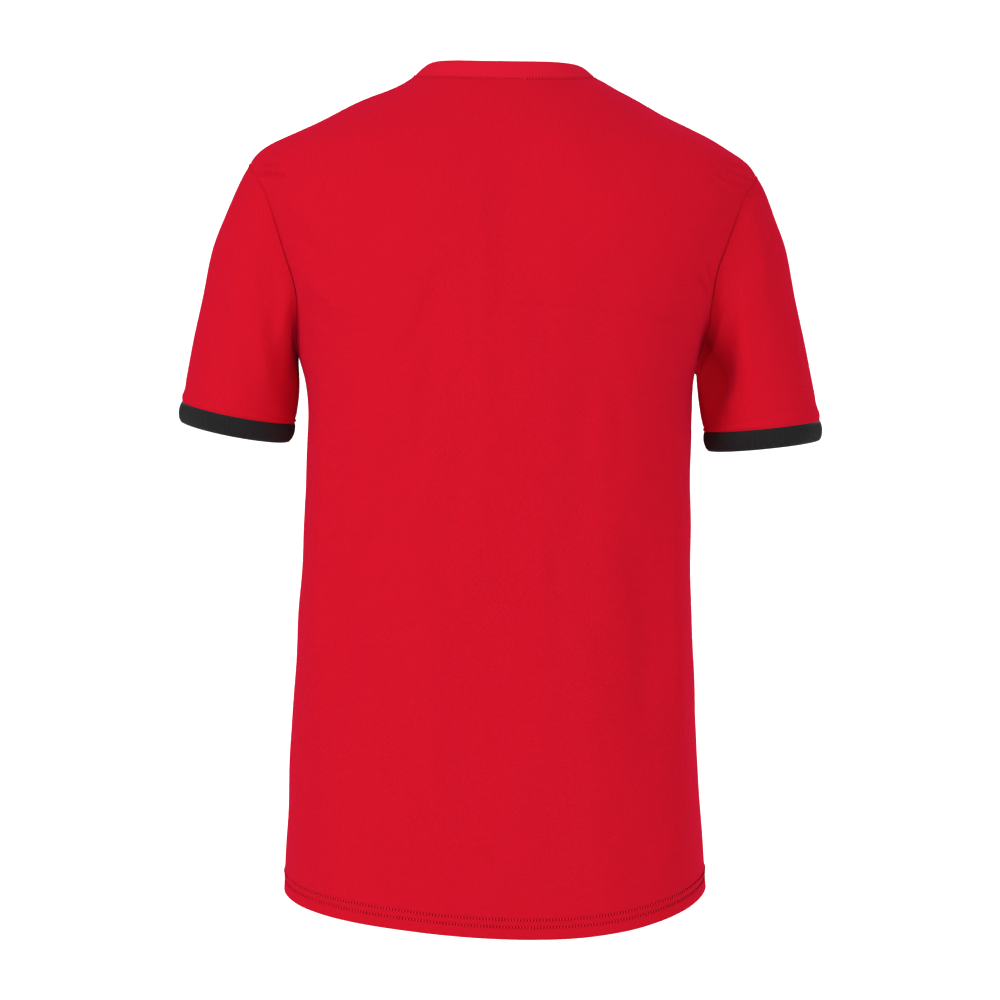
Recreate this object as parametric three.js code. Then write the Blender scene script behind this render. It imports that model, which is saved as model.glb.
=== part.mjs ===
// A men's football jersey, size M, filled out as if worn but with no wearer: thin cloth walls round
// an empty hollow, open at the neck, the cuffs and the hem. Sizes are in millimetres, +Z is up and
// the front faces -Y. Left and right are the wearer's own, so left is +X. The origin is midway
// between the high points of the two shoulders, at the neck, which is where a wearer holds it up.

import * as THREE from "three";

// ---- Driving sizes ----
const CLOTH = 1.5; // wall of the red interlock
const RIB = 2.2; // wall of the cuffs and the neck band, which are folded double
const SEAM_GAP = 0.45; // clear space between two pieces along their seam
const COLUMNS = 22; // facets across a body panel
const ROWS = { side: 14, armhole: 10, shoulder: 5, sleeve: 8, cuff: 2, band: 2 }; // facets along each
const RED = 0xc8102a;
const RED_BAND = 0xbe0f27;
const BLACK = 0x242425;

// The body is a stack of level sections. Each is half a superellipse behind the side seams and half
// in front of them: how far it reaches to the left, right, back and front, and how square it is.
const BODY = [
  { z: -740, left: 185, right: 178, back: 124, front: 121, square: 2.5 },
  { z: -690, left: 184, right: 175.5, back: 124, front: 121, square: 2.5 },
  { z: -620, left: 180.5, right: 170.2, back: 123, front: 121, square: 2.5 },
  { z: -550, left: 177, right: 167.2, back: 121, front: 121, square: 2.5 },
  { z: -450, left: 170.5, right: 162, back: 120, front: 122, square: 2.5 },
  { z: -345, left: 165.2, right: 162, back: 123, front: 124, square: 2.5 },
  { z: -290, left: 164, right: 164.2, back: 125, front: 124, square: 2.5 },
  { z: -260, left: 166.5, right: 165.8, back: 126, front: 123, square: 2.45 },
  { z: -236, left: 172.5, right: 171.5, back: 126, front: 122, square: 2.4 },
  { z: -205, left: 178, right: 184, back: 125, front: 120, square: 2.4 },
  { z: -180, left: 188, right: 195, back: 123, front: 116, square: 2.35 },
  { z: -148, left: 200, right: 208, back: 119, front: 109, square: 2.3 },
  { z: -112, left: 211, right: 219, back: 111, front: 99, square: 2.2 },
  { z: -90, left: 216, right: 220, back: 104, front: 91, square: 2.1 },
  { z: -74, left: 212.5, right: 210, back: 98, front: 84, square: 2 },
  { z: -58, left: 195, right: 185, back: 90, front: 76, square: 2 },
  { z: -40, left: 154.5, right: 150, back: 79, front: 67, square: 2 },
  { z: -20, left: 113.5, right: 115.5, back: 65, front: 55, square: 2 },
  { z: -8, left: 86, right: 92, back: 56, front: 49, square: 2 },
  { z: 2, left: 70, right: 75, back: 49, front: 45, square: 2 },
];

// Heights on both panels where their seams end. "up" counts the seams from the hem: the side seam
// (0 to 1), the armhole (1 to 2) and the shoulder seam (2 to 3). A panel's middle hangs below its
// left and right edges, which gives the hem and neckline curves. "flat" says how level such a curve
// starts at the edges, where 1 is an ellipse's quarter, and "skew" how much more it hangs on the right.
const HEIGHTS = [
  { up: 0, at: "hem", left: -692, right: -690, back: -722, front: -700, flat: 1.25, skew: 0.28 },
  { up: 1, at: "armpit", left: -236, right: -254, back: -245, front: -245, flat: 2, skew: 0 },
  { up: 2, at: "shoulder tip", left: -74, right: -85, back: -89, front: -132, flat: 1.6, skew: 0 },
  { up: 3, at: "neck", left: 0.5, right: -1.5, back: -8.5, front: -87, flat: 1, skew: 0 },
];

// The armhole seam, from the tip of the shoulder (0) down to the armpit (1), as an inset from the
// full width of the section. The front of an armhole is cut deeper than the back.
const ARMHOLE = [
  { down: 0, back: 0, front: 0 },
  { down: 0.05, back: 5, front: 6 },
  { down: 0.15, back: 14, front: 17 },
  { down: 0.3, back: 17, front: 23 },
  { down: 0.5, back: 16.5, front: 24 },
  { down: 0.68, back: 14, front: 20 },
  { down: 0.82, back: 6, front: 11 },
  { down: 0.92, back: 1.5, front: 3.5 },
  { down: 1, back: 0, front: 0 },
];

// A sleeve is a row of tilted rings from the armhole (0) to the cuff (1): where the ring meets the
// sleeve's top line and its underarm line, half its depth from front to back, how far its middle
// stands forward, and how much lower the back of the ring hangs than its middle.
const SLEEVE = {
  left: [
    { along: 0, topX: 212.5, topZ: -74, underX: 172.5, underZ: -236, depth: 60, forward: 0, hang: 0 },
    { along: 0.12, topX: 222, topZ: -91, underX: 173.6, underZ: -240, depth: 61, forward: 0, hang: 0 },
    { along: 0.25, topX: 233.5, topZ: -115, underX: 172.8, underZ: -247, depth: 61, forward: 1, hang: 1 },
    { along: 0.4, topX: 245.3, topZ: -146, underX: 171.9, underZ: -256, depth: 60, forward: 2, hang: 2 },
    { along: 0.6, topX: 254.5, topZ: -189, underX: 171.8, underZ: -270, depth: 58, forward: 3, hang: 3 },
    { along: 0.8, topX: 263.7, topZ: -232, underX: 173.2, underZ: -283, depth: 56, forward: 5, hang: 5 },
    { along: 1, topX: 272.3, topZ: -277, underX: 175.5, underZ: -296, depth: 54, forward: 6, hang: 6 },
  ],
  right: [
    { along: 0, topX: 218, topZ: -85, underX: 167.4, underZ: -254, depth: 61, forward: 0, hang: 0 },
    { along: 0.12, topX: 226, topZ: -99, underX: 168.8, underZ: -257, depth: 62, forward: 0, hang: 0 },
    { along: 0.25, topX: 235, topZ: -121, underX: 169, underZ: -262, depth: 61, forward: 1, hang: 1 },
    { along: 0.4, topX: 244, topZ: -147, underX: 169.4, underZ: -269, depth: 60, forward: 2, hang: 1 },
    { along: 0.6, topX: 252.5, topZ: -190, underX: 170.3, underZ: -279, depth: 58, forward: 3, hang: 2 },
    { along: 0.8, topX: 262.5, topZ: -237, underX: 172, underZ: -291, depth: 56, forward: 5, hang: 3 },
    { along: 1, topX: 274, topZ: -293.5, underX: 174.7, underZ: -303.7, depth: 54, forward: 6, hang: 4 },
  ],
};

// A cuff carries on from the sleeve's last ring: how far down, and how much it swells past that ring.
const CUFF = [
  { down: 0, swell: 0 },
  { down: 8.5, swell: 1 },
  { down: 17, swell: -1 },
];

// The neck band stands on the neckline and leans in towards the neck, most at the sides: its height
// and lean by the angle round the neck, from the middle of the back (0) to the middle of the front.
const NECK_BAND = [
  { round: 0, height: 15, lean: 8 },
  { round: 45, height: 15, lean: 15 },
  { round: 90, height: 15, lean: 54 },
  { round: 135, height: 15, lean: 48 },
  { round: 180, height: 15, lean: 40 },
];

// The largest folds of each panel: a soft ridge (rise above 0) or trough (rise below 0) from one
// place to another, as [x, z] on the panel, bowed sideways, with its half width and its rise.
const FOLDS = {
  back: [
    { name: "left blade", from: [78, -85], to: [52, -165], bow: 0, width: 36, rise: 4 },
    { name: "right blade", from: [-98, -85], to: [-104, -160], bow: 0, width: 36, rise: 4 },
    { name: "spine hollow", from: [-18, -60], to: [-16, -200], bow: 0, width: 28, rise: -3 },
    { name: "left blade fall", from: [46, -185], to: [98, -390], bow: 10, width: 15, rise: -3 },
    { name: "beside it", from: [40, -285], to: [48, -430], bow: 0, width: 14, rise: -2.5 },
    { name: "left waist", from: [100, -398], to: [134, -556], bow: -6, width: 17, rise: -3.5 },
    { name: "left edge roll", from: [152, -270], to: [156, -470], bow: 0, width: 14, rise: 3 },
    { name: "right edge roll", from: [-149, -318], to: [-152, -540], bow: 0, width: 15, rise: 3 },
    { name: "right waist", from: [-116, -404], to: [-121, -575], bow: 5, width: 17, rise: -3.5 },
    { name: "right fall", from: [-84, -200], to: [-66, -470], bow: -8, width: 16, rise: -2.5 },
    { name: "left tail", from: [134, -566], to: [152, -690], bow: 0, width: 18, rise: 3 },
    { name: "right tail", from: [-150, -580], to: [-144, -690], bow: 0, width: 18, rise: 3 },
  ],
  front: [
    { name: "left breast", from: [86, -125], to: [66, -195], bow: 0, width: 38, rise: 4 },
    { name: "right breast", from: [-90, -125], to: [-72, -195], bow: 0, width: 38, rise: 4 },
    { name: "left armpit fall", from: [134, -225], to: [84, -420], bow: 12, width: 17, rise: -3.5 },
    { name: "right armpit fall", from: [-130, -240], to: [-92, -400], bow: -10, width: 17, rise: -3.5 },
    { name: "middle fall", from: [14, -240], to: [30, -450], bow: 4, width: 16, rise: -2.5 },
    { name: "left belly", from: [96, -430], to: [124, -610], bow: 6, width: 19, rise: -3 },
    { name: "right belly", from: [-60, -390], to: [-104, -600], bow: -5, width: 18, rise: -3 },
    { name: "left side roll", from: [148, -300], to: [155, -520], bow: 0, width: 15, rise: 3 },
    { name: "right side roll", from: [-146, -330], to: [-149, -560], bow: 0, width: 15, rise: 3 },
    { name: "left front tail", from: [120, -600], to: [138, -690], bow: 0, width: 18, rise: 3 },
  ],
};

// The same on both sleeves, as [mm down the sleeve, degrees round it]: 0 degrees is the top line,
// 90 the back, 180 the underarm and 270 the front.
const SLEEVE_LENGTH = 200;
const SLEEVE_FOLDS = [
  { name: "behind the elbow", from: [60, 100], to: [150, 140], bow: 0, width: 17, rise: -3.5 },
  { name: "cap ripple", from: [40, 60], to: [120, 72], bow: 0, width: 16, rise: 2 },
  { name: "underarm tuck", from: [60, 150], to: [170, 156], bow: 0, width: 13, rise: -2.5 },
  { name: "inside the elbow", from: [60, 256], to: [160, 222], bow: 0, width: 17, rise: -3.5 },
  { name: "front ripple", from: [50, 305], to: [140, 290], bow: 0, width: 16, rise: 2 },
];

const UP = new THREE.Vector3(0, 0, 1);
const { lerp, clamp, degToRad, radToDeg, smoothstep } = THREE.MathUtils;

// ---- Reading the tables ----

// One column of a table at any place, on a smooth curve through its rows.
function read(table, key, column, place) {
  const last = table.length - 1;
  const at = clamp(place, table[0][key], table[last][key]);
  const k = Math.min(table.findIndex((row, i) => i === last || at < table[i + 1][key]), last - 1);
  const slope = (i) => {
    const before = table[Math.max(i - 1, 0)];
    const after = table[Math.min(i + 1, last)];
    return (after[column] - before[column]) / (after[key] - before[key]);
  };
  const span = table[k + 1][key] - table[k][key];
  const t = (at - table[k][key]) / span;
  const straight = lerp(table[k][column], table[k + 1][column], t * t * (3 - 2 * t));
  return straight + span * t * (1 - t) * (slope(k) * (1 - t) - slope(k + 1) * t);
}

// Steps from 0 to 1, both included.
const steps = (count) => Array.from({ length: count + 1 }, (_, k) => k / count);

// How far the folds of a piece lift one place on it.
function lift(folds, a, b) {
  return folds.reduce((sum, { from, to, bow, width, rise }) => {
    const run = [to[0] - from[0], to[1] - from[1]];
    const length = Math.hypot(...run);
    const gone = [a - from[0], b - from[1]];
    const t = (gone[0] * run[0] + gone[1] * run[1]) / length ** 2;
    const aside = (gone[0] * run[1] - gone[1] * run[0]) / length - bow * 4 * t * (1 - t);
    const taper = Math.sin(Math.PI * clamp((t + 0.15) / 1.3, 0, 1)) ** 0.8;
    return sum + rise * taper * Math.exp(-((aside / width) ** 2));
  }, 0);
}

// ---- Body panels ----

// A place on the outer face of a body panel, from its distance to the left and its height.
function bodyPoint(panel, x, z) {
  const facing = panel === "back" ? 1 : -1;
  const square = read(BODY, "z", "square", z);
  const width = read(BODY, "z", x > 0 ? "left" : "right", z);
  const depth = read(BODY, "z", panel, z);
  const across = Math.min(Math.abs(x) / width, 1);
  const out = (1 - across ** square) ** (1 / square);
  const away = new THREE.Vector3(
    (Math.sign(x) * across ** (square - 1)) / width,
    (facing * out ** (square - 1)) / depth,
    0,
  ).normalize();
  const rise = lift(FOLDS[panel], x, z) * clamp(out * 2.5, 0, 1);
  return new THREE.Vector3(x, facing * depth * out, z).addScaledVector(away, rise);
}

// A column of the heights between two seam ends.
function heightAt(column, up) {
  const k = Math.min(Math.floor(up), HEIGHTS.length - 2);
  return lerp(HEIGHTS[k][column], HEIGHTS[k + 1][column], up - k);
}

// Where a row of a panel meets the panel's left or right edge.
function edgeOf(panel, side, up) {
  const z = heightAt(side, up);
  const inset = up > 1 && up < 2 ? read(ARMHOLE, "down", panel, 2 - up) : 0;
  return { x: read(BODY, "z", side, z) - inset, z };
}

// One row of points across a panel, evenly spaced from its right edge to its left edge.
function panelRow(panel, { edgeUp, up }) {
  const right = edgeOf(panel, "right", edgeUp);
  const left = edgeOf(panel, "left", edgeUp);
  const hang = (right.z + left.z) / 2 - heightAt(panel, up);
  const [flat, skew] = [heightAt("flat", up), heightAt("skew", up)];
  const pointAt = (turn) => {
    const across = Math.sin(turn);
    const x = across * (across > 0 ? left.x : right.x);
    const level = lerp(right.z, left.z, (1 + across) / 2);
    const middle = Math.max(Math.cos(turn), 0);
    const drop = hang * middle ** flat * (1 - skew * across * middle);
    return bodyPoint(panel, x, level - drop);
  };
  const turns = steps(200).map((t) => (t - 0.5) * Math.PI);
  const fine = turns.map(pointAt);
  const run = [0];
  fine.slice(1).forEach((p, k) => run.push(run[k] + p.distanceTo(fine[k])));
  return steps(COLUMNS).map((t) => {
    const far = t * run.at(-1);
    const k = Math.max(run.findIndex((r) => r >= far), 1);
    return pointAt(lerp(turns[k - 1], turns[k], (far - run[k - 1]) / (run[k] - run[k - 1])));
  });
}

// Rows from the hem up to the neck. Their ends crowd towards both ends of the armhole, where it turns.
const UPS = [
  ...steps(ROWS.side).slice(0, -1).map((t) => ({ edgeUp: t, up: t })),
  ...steps(ROWS.armhole).slice(0, -1).map((t) => ({ edgeUp: 1 + (1 - Math.cos(Math.PI * t)) / 2, up: 1 + t })),
  ...steps(ROWS.shoulder).map((t) => ({ edgeUp: 2 + t, up: 2 + t })),
];
const frontRows = UPS.map((up) => panelRow("front", up));
const backRows = UPS.map((up) => panelRow("back", up).reverse());

// ---- Sleeves and cuffs ----

// The armhole's points on one side: down its back from the tip of the shoulder, then up its front.
function armhole(side) {
  const column = side === "left" ? COLUMNS : 0;
  const [armpit, tip] = [ROWS.side, ROWS.side + ROWS.armhole];
  const down = backRows.slice(armpit, tip + 1).map((row) => row[COLUMNS - column]).reverse();
  const upFront = frontRows.slice(armpit + 1, tip).map((row) => row[column]);
  return [...down, ...upFront];
}

// A place on a plain sleeve ring.
function ringPoint(side, along, turn) {
  const size = (column) => read(SLEEVE[side], "along", column, along);
  const out = side === "left" ? 1 : -1;
  const top = new THREE.Vector3(out * size("topX"), -size("forward"), size("topZ"));
  const under = new THREE.Vector3(out * size("underX"), -size("forward"), size("underZ"));
  const middle = top.clone().lerp(under, 0.5);
  const round = middle.clone().lerp(top, Math.cos(turn));
  const point = round.add(new THREE.Vector3(0, size("depth"), -size("hang")).multiplyScalar(Math.sin(turn)));
  const away = point.clone().sub(middle).normalize();
  return { point, away, middle };
}

// Rows of points down a sleeve. The first is the armhole itself, and its shape fades out below.
function sleeveRows(side) {
  const seam = armhole(side);
  return steps(ROWS.sleeve).map((along) =>
    seam.map((onSeam, k) => {
      const turn = (2 * Math.PI * k) / seam.length;
      const { point, away } = ringPoint(side, along, turn);
      const rise = lift(SLEEVE_FOLDS, along * SLEEVE_LENGTH, radToDeg(turn));
      const fade = 1 - smoothstep(along, 0, 1);
      const fromSeam = onSeam.clone().sub(ringPoint(side, 0, turn).point);
      const ease = smoothstep(along, 0, 0.3) * smoothstep(1 - along, 0, 0.2);
      return point.addScaledVector(fromSeam, fade).addScaledVector(away, rise * ease);
    }),
  );
}

function cuffRows(side, sleeve) {
  const last = sleeve.at(-1);
  const { middle } = ringPoint(side, 1, 0);
  const quarter = last.length / 4;
  const across = last[0].clone().sub(last[2 * quarter]);
  const through = last[quarter].clone().sub(last[3 * quarter]);
  const down = across.cross(through).normalize();
  down.multiplyScalar(-Math.sign(down.z));
  return CUFF.map((ring) =>
    last.map((p) => {
      const away = p.clone().sub(middle).normalize();
      return p.clone().addScaledVector(down, ring.down).addScaledVector(away, ring.swell);
    }),
  );
}

// ---- Neck band ----

function bandRows() {
  const neckline = [...backRows.at(-1), ...frontRows.at(-1).slice(1, -1)];
  return steps(ROWS.band).map((t) =>
    neckline.map((p) => {
      const round = radToDeg(Math.atan2(Math.abs(p.x), p.y));
      const lean = degToRad(read(NECK_BAND, "round", "lean", round));
      const inwards = new THREE.Vector3(-p.x, -p.y, 0).normalize();
      const rise = UP.clone().multiplyScalar(Math.cos(lean)).addScaledVector(inwards, Math.sin(lean));
      return p.clone().addScaledVector(rise, t * read(NECK_BAND, "round", "height", round));
    }),
  );
}

// ---- Cloth walls ----

// The two triangles of every facet, as [row, column] corners, seen from the outer face. Each facet is
// split along its shorter diagonal, so that the slanting ones by the seams stay smooth.
function facets({ rows, closed }) {
  const width = rows[0].length;
  const found = [];
  for (let i = 0; i + 1 < rows.length; i++) {
    for (let j = 0; j < (closed ? width : width - 1); j++) {
      const k = (j + 1) % width;
      const rising = rows[i][j].distanceTo(rows[i + 1][k]);
      const falling = rows[i][k].distanceTo(rows[i + 1][j]);
      const [a, b, c, d] = [[i, j], [i, k], [i + 1, k], [i + 1, j]];
      found.push(...(rising <= falling ? [[a, b, c], [a, c, d]] : [[a, b, d], [b, c, d]]));
    }
  }
  return found;
}

// The corners of every loop of free or seamed edge, walked with the cloth on the left.
function borders({ rows, closed }) {
  const [high, wide] = [rows.length - 1, rows[0].length - 1];
  const across = rows[0].map((_, j) => j);
  const up = rows.map((_, i) => i);
  if (closed) return [across.map((j) => [0, j]), across.toReversed().map((j) => [high, j])];
  return [[
    ...across.slice(0, -1).map((j) => [0, j]),
    ...up.slice(0, -1).map((i) => [i, wide]),
    ...across.slice(1).toReversed().map((j) => [high, j]),
    ...up.slice(1).toReversed().map((i) => [i, 0]),
  ]];
}

const spot = (p) => [p.x, p.y, p.z].map((c) => Math.round(c * 100)).join();
const faceNormal = ([a, b, c]) => b.clone().sub(a).cross(c.clone().sub(a));

// Sums of the face normals round every point, over the given pieces. Pieces that share a seam
// share its points, so their walls get one common mitre there.
function normalsOf(pieces) {
  const sums = new Map();
  for (const piece of pieces) {
    for (const corners of facets(piece)) {
      const points = corners.map(([i, j]) => piece.rows[i][j]);
      const normal = faceNormal(points);
      for (const p of points) {
        const sum = sums.get(spot(p)) ?? new THREE.Vector3();
        sums.set(spot(p), sum.add(normal));
      }
    }
  }
  return sums;
}

// A closed wall of cloth under its outer face, drawn back from every edge by half a seam gap.
function wallOf(piece, shared) {
  const own = normalsOf([piece]);
  const edge = new Set(borders(piece).flat().map(String));
  const around = new Map();
  for (const corners of facets(piece)) {
    const points = corners.map(([i, j]) => piece.rows[i][j]);
    const centre = points[0].clone().add(points[1]).add(points[2]).divideScalar(3);
    corners.forEach((corner) => around.set(String(corner), [...(around.get(String(corner)) ?? []), centre]));
  }
  const outer = [];
  const inner = [];
  piece.rows.forEach((row, i) =>
    row.forEach((p, j) => {
      const normal = shared.get(spot(p)).clone().normalize();
      const flat = Math.max(normal.dot(own.get(spot(p)).clone().normalize()), 0.8);
      const place = p.clone();
      if (edge.has(String([i, j]))) {
        const near = around.get(String([i, j]));
        const back = near.reduce((sum, c) => sum.add(c), new THREE.Vector3()).divideScalar(near.length).sub(p);
        back.addScaledVector(normal, -normal.dot(back)).normalize();
        place.addScaledVector(back, SEAM_GAP / 2);
      }
      outer.push(place);
      inner.push(place.clone().addScaledVector(normal, -piece.wall / flat));
    }),
  );
  const width = piece.rows[0].length;
  const index = [];
  const number = ([i, j], face) => i * width + j + (face === "inner" ? outer.length : 0);
  for (const [a, b, c] of facets(piece)) {
    index.push(number(a), number(b), number(c));
    index.push(number(a, "inner"), number(c, "inner"), number(b, "inner"));
  }
  for (const loop of borders(piece)) {
    loop.forEach((a, k) => {
      const b = loop[(k + 1) % loop.length];
      index.push(number(b), number(a), number(a, "inner"));
      index.push(number(b), number(a, "inner"), number(b, "inner"));
    });
  }
  const geometry = new THREE.BufferGeometry().setFromPoints([...outer, ...inner]);
  geometry.setIndex(index);
  geometry.computeVertexNormals();
  return geometry;
}

// ---- The jersey ----

const knit = new THREE.MeshStandardMaterial({ color: RED, roughness: 0.75, metalness: 0 });
const band = new THREE.MeshStandardMaterial({ color: RED_BAND, roughness: 0.8, metalness: 0 });
const rib = new THREE.MeshStandardMaterial({ color: BLACK, roughness: 0.85, metalness: 0 });

const pieces = [
  { name: "front", rows: frontRows, closed: false, wall: CLOTH, material: knit },
  { name: "back", rows: backRows, closed: false, wall: CLOTH, material: knit },
  { name: "collar", rows: bandRows(), closed: true, wall: RIB, material: band },
];
for (const side of ["left", "right"]) {
  const sleeve = sleeveRows(side);
  const cuff = cuffRows(side, sleeve);
  // Read from the cuff up on the left, and from the armhole down on the right, faces point outwards.
  const outwards = (rows) => (side === "left" ? rows.toReversed() : rows);
  pieces.push({ name: `sleeve_${side}`, rows: outwards(sleeve), closed: true, wall: CLOTH, material: knit });
  pieces.push({ name: `cuff_${side}`, rows: outwards(cuff), closed: true, wall: RIB, material: rib });
}

const jersey = new THREE.Group();
const shared = normalsOf(pieces);
for (const piece of pieces) {
  const mesh = new THREE.Mesh(wallOf(piece, shared), piece.material);
  mesh.name = piece.name;
  jersey.add(mesh);
}

export default jersey;
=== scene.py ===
import math
import bpy
import numpy as np
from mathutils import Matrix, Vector


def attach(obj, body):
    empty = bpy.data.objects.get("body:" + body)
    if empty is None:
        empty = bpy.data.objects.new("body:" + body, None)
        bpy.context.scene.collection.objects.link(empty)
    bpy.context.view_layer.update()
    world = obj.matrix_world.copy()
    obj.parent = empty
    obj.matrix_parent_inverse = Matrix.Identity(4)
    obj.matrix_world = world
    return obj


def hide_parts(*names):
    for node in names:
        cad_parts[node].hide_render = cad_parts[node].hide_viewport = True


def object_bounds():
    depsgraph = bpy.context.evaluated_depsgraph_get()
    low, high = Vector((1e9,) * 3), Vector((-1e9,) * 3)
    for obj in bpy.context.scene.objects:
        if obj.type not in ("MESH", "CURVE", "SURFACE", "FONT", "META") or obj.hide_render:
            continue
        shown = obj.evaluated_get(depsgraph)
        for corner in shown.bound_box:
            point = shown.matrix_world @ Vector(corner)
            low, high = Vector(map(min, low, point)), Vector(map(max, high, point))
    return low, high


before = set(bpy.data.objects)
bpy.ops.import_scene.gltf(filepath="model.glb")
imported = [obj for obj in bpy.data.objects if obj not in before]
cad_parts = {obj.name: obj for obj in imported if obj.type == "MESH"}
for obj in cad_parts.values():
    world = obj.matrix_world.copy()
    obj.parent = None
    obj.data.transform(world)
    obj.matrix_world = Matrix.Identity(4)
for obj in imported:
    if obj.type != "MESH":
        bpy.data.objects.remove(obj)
cad_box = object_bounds()

# ================================ Back panel ================================
# The back is one piece of red polyester interlock, cut with a dropped tail. It is overlocked to the
# front down its sides and along the shoulders, and its hem is turned up once and sewn with a twin
# needle. Places and sizes are in millimetres here, as on a cutter's pattern, and meshes in metres.

MM = 0.001
CLOTH = 1.1  # interlock, a little thicker than real so that its edges show
HEM = 20.0  # height of the turned-up hem
TWIN_ROWS = (9.4, 15.8)  # the twin needle's two rows, above the hem's edge
SEAM_DIP = 0.4  # how far a seam pulls the cloth in


def table(names, *rows):
    """A table with named columns, one row for each section."""
    return {name: np.array(values, float) for name, values in zip(names.split(), zip(*rows))}


def read(rows, key, name, place):
    """One column of a table at any places, on a smooth curve through its rows."""
    x, y = rows[key], rows[name]
    slope = np.empty_like(y)
    slope[1:-1] = (y[2:] - y[:-2]) / (x[2:] - x[:-2])
    slope[0] = (y[1] - y[0]) / (x[1] - x[0])
    slope[-1] = (y[-1] - y[-2]) / (x[-1] - x[-2])
    at = np.clip(place, x[0], x[-1])
    k = np.clip(np.searchsorted(x, at, side="right") - 1, 0, len(x) - 2)
    span = x[k + 1] - x[k]
    t = (at - x[k]) / span
    straight = y[k] + (y[k + 1] - y[k]) * t * t * (3 - 2 * t)
    return straight + span * t * (1 - t) * (slope[k] * (1 - t) - slope[k + 1] * t)


# Level sections of the body, each half a superellipse behind the side seams and half in front.
BODY = table(
    "z left right back front square",
    (-740, 185, 178, 124, 121, 2.5),
    (-690, 184, 175.5, 124, 121, 2.5),
    (-620, 180.5, 170.2, 123, 121, 2.5),
    (-550, 177, 167.2, 121, 121, 2.5),
    (-450, 170.5, 162, 120, 122, 2.5),
    (-345, 165.2, 162, 123, 124, 2.5),
    (-290, 164, 164.2, 125, 124, 2.5),
    (-260, 166.5, 165.8, 126, 123, 2.45),
    (-236, 172.5, 171.5, 126, 122, 2.4),
    (-205, 178, 184, 125, 120, 2.4),
    (-180, 188, 195, 123, 116, 2.35),
    (-148, 200, 208, 119, 109, 2.3),
    (-112, 211, 219, 111, 99, 2.2),
    (-90, 216, 220, 104, 91, 2.1),
    (-74, 212.5, 210, 98, 84, 2),
    (-58, 195, 185, 90, 76, 2),
    (-40, 154.5, 150, 79, 67, 2),
    (-20, 113.5, 115.5, 65, 55, 2),
    (-8, 86, 92, 56, 49, 2),
    (2, 70, 75, 49, 45, 2),
)

# Where the seams end: "up" counts them from the hem (0) by the armpit (1) and the tip of the
# shoulder (2) to the neck (3). A panel's middle hangs below its edges, level at first where flat > 1,
# and skew says how much more it hangs on the right.
HEIGHTS = table(
    "up left right back front flat skew",
    (0, -692, -690, -722, -700, 1.25, 0.28),
    (1, -236, -254, -245, -245, 2, 0),
    (2, -74, -85, -89, -132, 1.6, 0),
    (3, 0.5, -1.5, -8.5, -87, 1, 0),
)

# The armhole seam from the tip of the shoulder (0) to the armpit (1), as an inset from full width.
# The right one turns and hangs straight down above its armpit, farther out by a few millimetres.
ARMHOLE = table(
    "down back front right",
    (0, 0, 0, 0),
    (0.05, 5, 6, 0),
    (0.15, 14, 17, 0),
    (0.3, 17, 23, 0),
    (0.5, 16.5, 24, 0),
    (0.68, 14, 20, 6),
    (0.82, 6, 11, 6),
    (0.92, 1.5, 3.5, 1.5),
    (1, 0, 0, 0),
)

# The folds that the solid has too. Each is a soft ridge (rise above 0) or trough (below 0) from one
# place to another, bowed sideways, with its half width.
FOLD_COLUMNS = "from_x from_z to_x to_z bow width rise"
FOLDS = {
    "back": table(
        FOLD_COLUMNS,
        (78, -85, 52, -165, 0, 36, 4),  # left shoulder blade
        (-98, -85, -104, -160, 0, 36, 4),  # right shoulder blade
        (-18, -60, -16, -200, 0, 28, -3),  # hollow between them
        (46, -185, 98, -390, 10, 15, -3),
        (40, -285, 48, -430, 0, 14, -2.5),
        (100, -398, 134, -556, -6, 17, -3.5),
        (152, -270, 156, -470, 0, 14, 3),
        (-149, -318, -152, -540, 0, 15, 3),
        (-116, -404, -121, -575, 5, 17, -3.5),
        (-84, -200, -66, -470, -8, 16, -2.5),
        (134, -566, 152, -690, 0, 18, 3),
        (-150, -580, -144, -690, 0, 18, 3),
    ),
    "front": table(
        FOLD_COLUMNS,
        (86, -125, 66, -195, 0, 38, 4),
        (-90, -125, -72, -195, 0, 38, 4),
        (134, -225, 84, -420, 12, 17, -3.5),
        (-130, -240, -92, -400, -10, 17, -3.5),
        (14, -240, 30, -450, 4, 16, -2.5),
        (96, -430, 124, -610, 6, 19, -3),
        (-60, -390, -104, -600, -5, 18, -3),
        (148, -300, 155, -520, 0, 15, 3),
        (-146, -330, -149, -560, 0, 15, 3),
        (120, -600, 138, -690, 0, 18, 3),
    ),
}


def lift(folds, a, b):
    """How far the folds of a piece lift each place on it."""
    total = np.zeros(np.broadcast(a, b).shape)
    columns = [folds[name] for name in FOLD_COLUMNS.split()]
    for from_a, from_b, to_a, to_b, bow, width, rise in zip(*columns):
        run_a, run_b = to_a - from_a, to_b - from_b
        length = math.hypot(run_a, run_b)
        t = ((a - from_a) * run_a + (b - from_b) * run_b) / length**2
        aside = ((a - from_a) * run_b - (b - from_b) * run_a) / length - bow * 4 * t * (1 - t)
        taper = np.sin(np.pi * np.clip((t + 0.15) / 1.3, 0, 1)) ** 0.8  # dies out just past both ends
        total += rise * taper * np.exp(-((aside / width) ** 2))
    return total


def unit(v):
    return v / np.maximum(np.linalg.norm(v, axis=-1, keepdims=True), 1e-9)


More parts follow.
